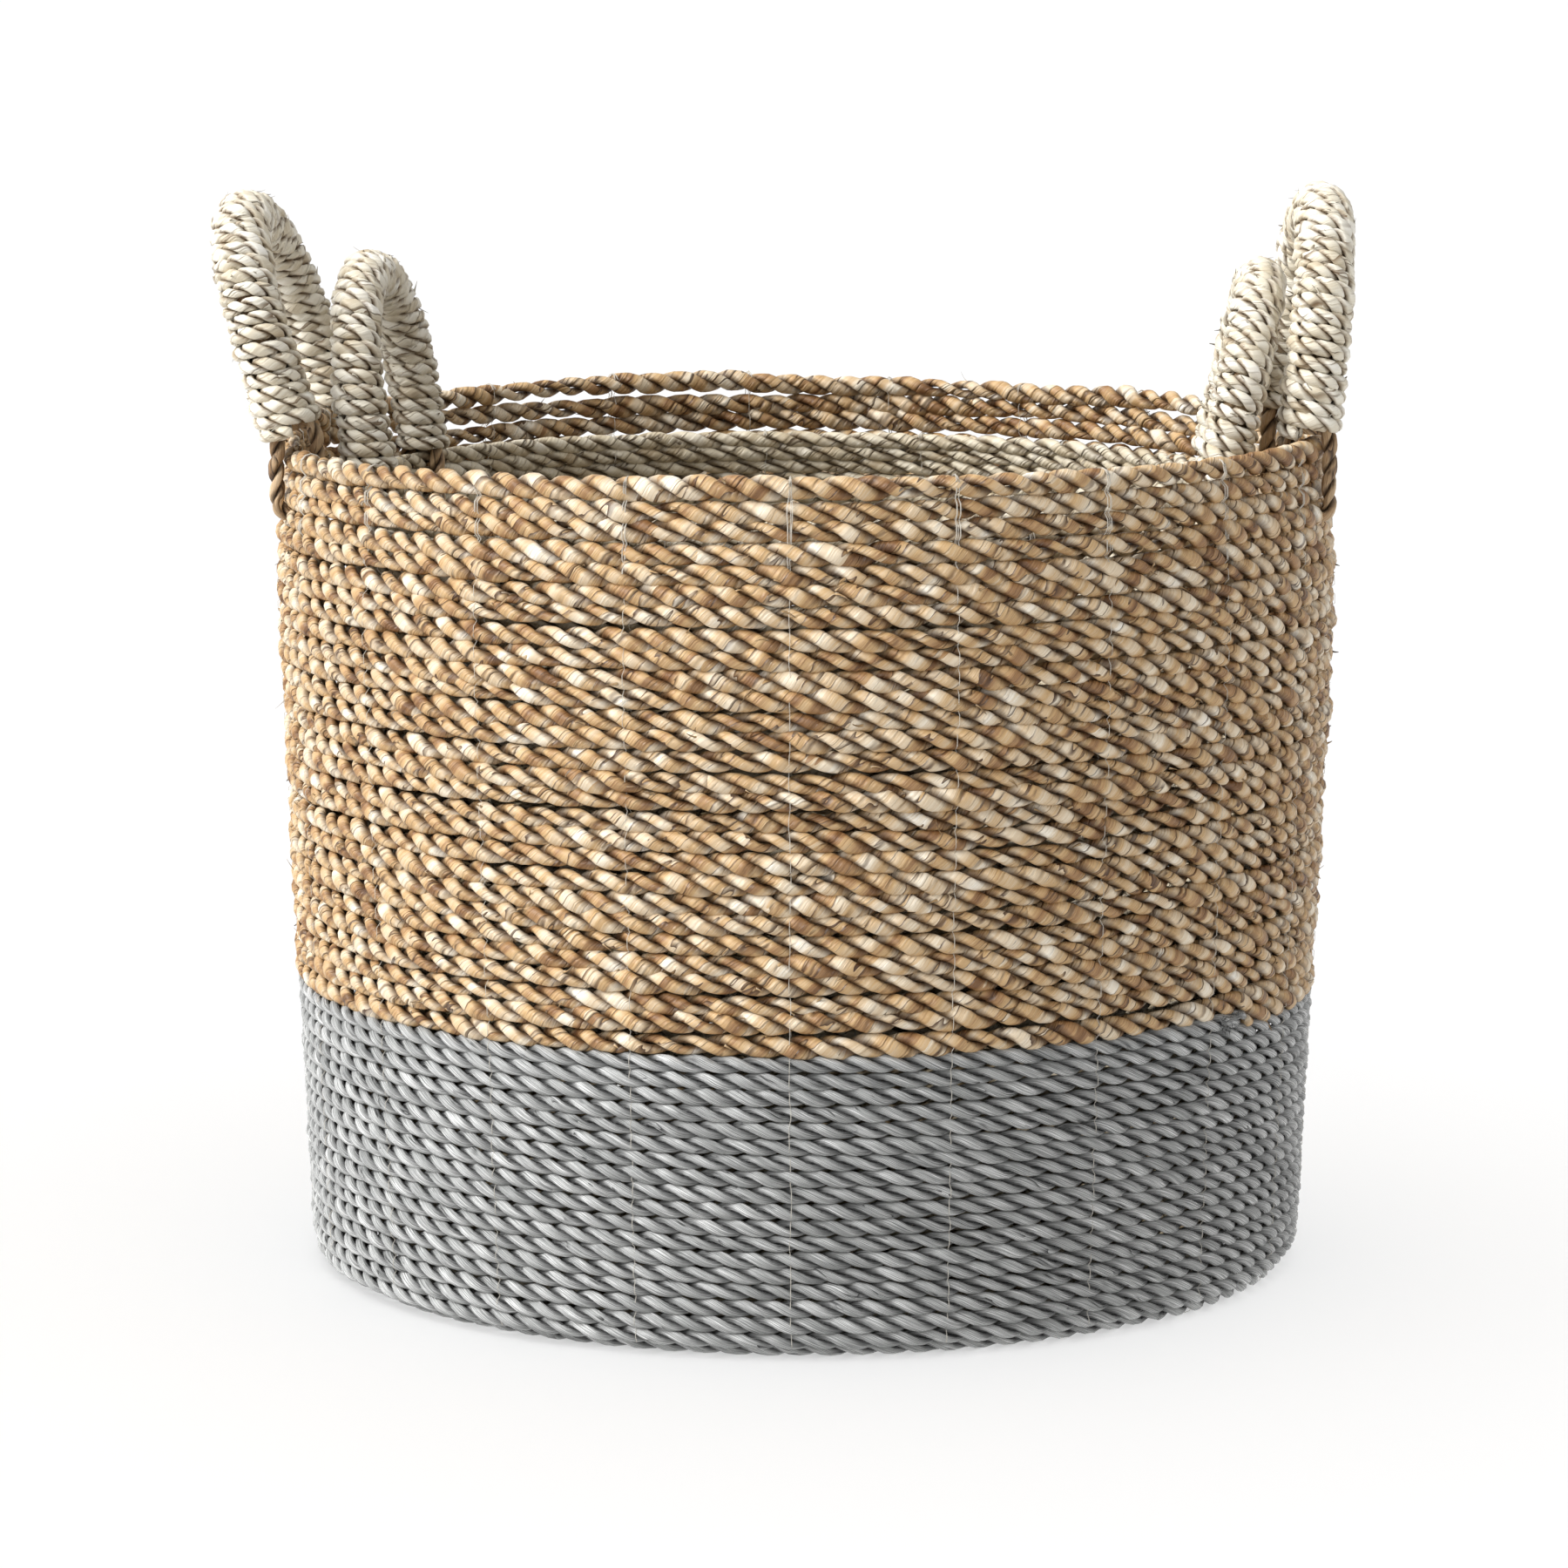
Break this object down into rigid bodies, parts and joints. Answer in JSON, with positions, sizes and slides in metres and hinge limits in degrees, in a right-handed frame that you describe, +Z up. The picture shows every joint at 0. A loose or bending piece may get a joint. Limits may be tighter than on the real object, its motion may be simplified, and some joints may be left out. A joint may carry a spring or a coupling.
{
  "type": "storage basket",
  "caption": "Round storage basket of coiled twisted seagrass rope with a grey lower band and upright rope handles, holding a smaller pale basket nested inside.",
  "frame": {"origin": "centre of the large basket's underside, on the floor", "axes": "+X towards the large basket's right-hand handle, +Y towards the back, +Z up"},
  "size_m": [0.4767, 0.4476, 0.4559],
  "materials": {
    "natural_seagrass": "twisted natural seagrass rope, dry and matt",
    "grey_cord": "twisted grey rope with a slight sheen",
    "pale_seagrass": "twisted pale seagrass rope, matt",
    "brown_cord": "twisted dark seagrass rope, matt",
    "sewing_thread": "thin clear to off-white sewing thread"
  },
  "bodies": {
    "large_basket": {"large_base_coil": "grey_cord", "large_grey_band": "grey_cord", "large_natural_wall": "natural_seagrass", "large_rim_rope": "natural_seagrass", "large_left_strap_front": "brown_cord", "large_left_strap_back": "brown_cord", "large_right_strap_front": "brown_cord", "large_right_strap_back": "brown_cord", "large_stitch_01": "sewing_thread", "large_stitch_02": "sewing_thread", "large_stitch_03": "sewing_thread", "large_stitch_04": "sewing_thread", "large_stitch_05": "sewing_thread", "large_stitch_06": "sewing_thread", "large_stitch_07": "sewing_thread", "large_stitch_08": "sewing_thread", "large_stitch_09": "sewing_thread", "large_stitch_10": "sewing_thread", "large_stitch_11": "sewing_thread", "large_stitch_12": "sewing_thread", "large_stitch_13": "sewing_thread", "large_stitch_14": "sewing_thread", "large_stitch_15": "sewing_thread", "large_stitch_16": "sewing_thread", "large_stitch_17": "sewing_thread", "large_stitch_18": "sewing_thread", "large_stitch_19": "sewing_thread", "large_stitch_20": "sewing_thread", "large_stitch_21": "sewing_thread"},
    "small_basket": {"small_base_coil": "pale_seagrass", "small_wall": "pale_seagrass", "small_rim_rope": "pale_seagrass", "small_left_strap_front": "brown_cord", "small_left_strap_back": "brown_cord", "small_right_strap_front": "brown_cord", "small_right_strap_back": "brown_cord", "small_stitch_01": "sewing_thread", "small_stitch_02": "sewing_thread", "small_stitch_03": "sewing_thread", "small_stitch_04": "sewing_thread", "small_stitch_05": "sewing_thread", "small_stitch_06": "sewing_thread", "small_stitch_07": "sewing_thread", "small_stitch_08": "sewing_thread", "small_stitch_09": "sewing_thread", "small_stitch_10": "sewing_thread", "small_stitch_11": "sewing_thread", "small_stitch_12": "sewing_thread", "small_stitch_13": "sewing_thread", "small_stitch_14": "sewing_thread", "small_stitch_15": "sewing_thread", "small_stitch_16": "sewing_thread"},
    "large_left_handle": {"large_left_handle_wrap": "pale_seagrass", "large_left_handle_core": "brown_cord"},
    "large_right_handle": {"large_right_handle_wrap": "pale_seagrass", "large_right_handle_core": "brown_cord"},
    "small_left_handle": {"small_left_handle_wrap": "pale_seagrass", "small_left_handle_core": "brown_cord"},
    "small_right_handle": {"small_right_handle_wrap": "pale_seagrass", "small_right_handle_core": "brown_cord"}
  },
  "joints": [
    {"name": "small_basket_lift", "type": "slide", "parent": "large_basket", "child": "small_basket", "axis": [0, 0, 1], "range_m": [0, 0.46]},
    {"name": "large_left_handle_tilt", "type": "hinge", "parent": "large_basket", "child": "large_left_handle", "pos_m": [-0.20703, 0.01448, 0.3561], "axis": [-0.0698, -0.9976, 0], "range_deg": [-10, 17]},
    {"name": "large_right_handle_tilt", "type": "hinge", "parent": "large_basket", "child": "large_right_handle", "pos_m": [0.20754, 0, 0.3561], "axis": [0, 1, 0], "range_deg": [-2, 29]},
    {"name": "small_left_handle_tilt", "type": "hinge", "parent": "small_basket", "child": "small_left_handle", "pos_m": [-0.17437, 0.02389, 0.3355], "axis": [-0.1357, -0.9907, 0], "range_deg": [-38, 0]},
    {"name": "small_right_handle_tilt", "type": "hinge", "parent": "small_basket", "child": "small_right_handle", "pos_m": [0.17567, -0.01074, 0.3355], "axis": [0.061, 0.9981, 0], "range_deg": [-37, 0]}
  ]
}
